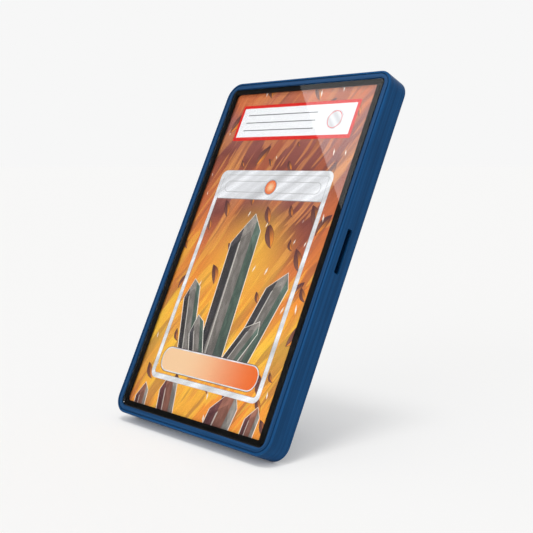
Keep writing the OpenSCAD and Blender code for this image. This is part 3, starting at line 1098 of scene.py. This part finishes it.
def light_world(scene, colour, strength):
    """Even light from all around, behind which the camera and mirrors see the backdrop."""
    sky = Finish("studio_sky", world=True)
    path = sky.node("ShaderNodeLightPath")
    seen = path["Is Camera Ray"].most(path["Is Glossy Ray"]).most(path["Is Transmission Ray"])
    plain = sky.node("ShaderNodeBackground", None, {"Color": (1.0, 1.0, 1.0), "Strength": strength})
    backdrop = sky.node("ShaderNodeBackground", None, {"Color": colour, "Strength": 1.0})
    scene.world = sky.show(sky.node("ShaderNodeMixShader", None, {0: seen, 1: plain, 2: backdrop}))


def hang_lamp(name, toward, light, width):
    """A soft distant lamp that gives the floor this much light."""
    lamp = bpy.data.lights.new(name, "SUN")
    toward = Vector(toward).normalized()
    lamp.energy = light * math.pi / toward.z
    lamp.angle = width
    hung = placed(name, lamp)
    hung.rotation_euler = toward.to_track_quat("Z", "Y").to_euler()


def hang_flag(studio):
    """A dark flag that only mirrors and clear plastic show: one corner of the pane stays lit."""
    place = camera_axes(studio)[0]
    mirrored = place - 2 * (place - pane_front()).dot(FACE.out) * FACE.out
    spots = [on_pane(studio, *spot) for spot in (LIT_TOP, LIT_SIDE, DARK_SPOT)]
    along = ((spots[0] + spots[1]) / 2 - mirrored).normalized()
    rays = [spot - mirrored for spot in spots]
    top, side, dark = (mirrored + ray * (FLAG_AWAY / ray.dot(along)) for ray in rays)
    edge = (side - top).normalized()
    inward = dark - top
    inward = (inward - edge * inward.dot(edge)).normalized() * FLAG_DEEP
    low, high = top - edge * FLAG_BEFORE, top + edge * FLAG_BEYOND
    finish = Finish("flag_black")
    grain = finish.noise(finish.node("ShaderNodeTexCoord")["Object"], 30.0)
    shade = finish.mix(grain, tone(8, 8, 8), tone(14, 14, 14))
    black = finish.principled({"Base Color": shade, "Roughness": 1.0, "Specular IOR Level": 0.0})
    flag = staged_sheet("flag", [low, high, high + inward, low + inward], finish.show(black))
    for rays in ("camera", "diffuse", "shadow", "volume_scatter"):
        setattr(flag, "visible_" + rays, False)


def place_camera(scene, studio):
    """The camera at the photograph's viewing angle."""
    place, right, up, forward = camera_axes(studio)
    data = bpy.data.cameras.new("camera")
    data.sensor_fit = "HORIZONTAL"
    data.sensor_width = 36.0
    data.lens = studio.focal_px / IMAGE_PX * data.sensor_width
    data.clip_start = 0.01
    data.clip_end = 200.0
    scene.camera = placed("camera", data)
    turn = Matrix((right, up, -forward)).transposed().to_4x4()
    scene.camera.matrix_world = Matrix.Translation(place) @ turn


class CASE_PT_sidebar(bpy.types.Panel):
    """The case's settings and operators"""

    bl_label = "Display Case"
    bl_idname = "CASE_PT_sidebar"
    bl_space_type = "VIEW_3D"
    bl_region_type = "UI"
    bl_category = "Display Case"

    def draw(self, context):
        layout = self.layout
        for settings in ("case_settings", "print_settings", "studio_settings"):
            column = layout.column()
            group = getattr(context.scene, settings)
            for name in type(group).__annotations__:
                column.prop(group, name)
        for operator in OPERATORS:
            layout.operator(operator.bl_idname)


OPERATORS = (
    CASE_OT_shell,
    CASE_OT_front_frame,
    CASE_OT_leg,
    CASE_OT_linings,
    CASE_OT_magnets,
    CASE_OT_pane,
    CASE_OT_slab,
    CASE_OT_prints,
    CASE_OT_core,
    CASE_OT_hinge,
    CASE_OT_studio,
)
CLASSES = (CaseSettings, PrintSettings, StudioSettings, *OPERATORS, CASE_PT_sidebar)


def register():
    """Registers the classes and adds the settings to the scene."""
    for each in CLASSES:
        bpy.utils.register_class(each)
    bpy.types.Scene.case_settings = PointerProperty(type=CaseSettings)
    bpy.types.Scene.print_settings = PointerProperty(type=PrintSettings)
    bpy.types.Scene.studio_settings = PointerProperty(type=StudioSettings)


def unregister():
    """Takes the settings away and unregisters the classes."""
    del bpy.types.Scene.studio_settings
    del bpy.types.Scene.print_settings
    del bpy.types.Scene.case_settings
    for each in reversed(CLASSES):
        bpy.utils.unregister_class(each)


def main():
    """Dresses the case and sets the studio."""
    register()
    bpy.ops.display_case.shell()
    bpy.ops.display_case.front_frame()
    bpy.ops.display_case.leg()
    bpy.ops.display_case.linings()
    bpy.ops.display_case.magnets()
    bpy.ops.display_case.pane()
    bpy.ops.display_case.slab()
    bpy.ops.display_case.prints()
    bpy.ops.display_case.core()
    bpy.ops.display_case.hinge()
    bpy.ops.display_case.studio()


if __name__ == "__main__":
    main()
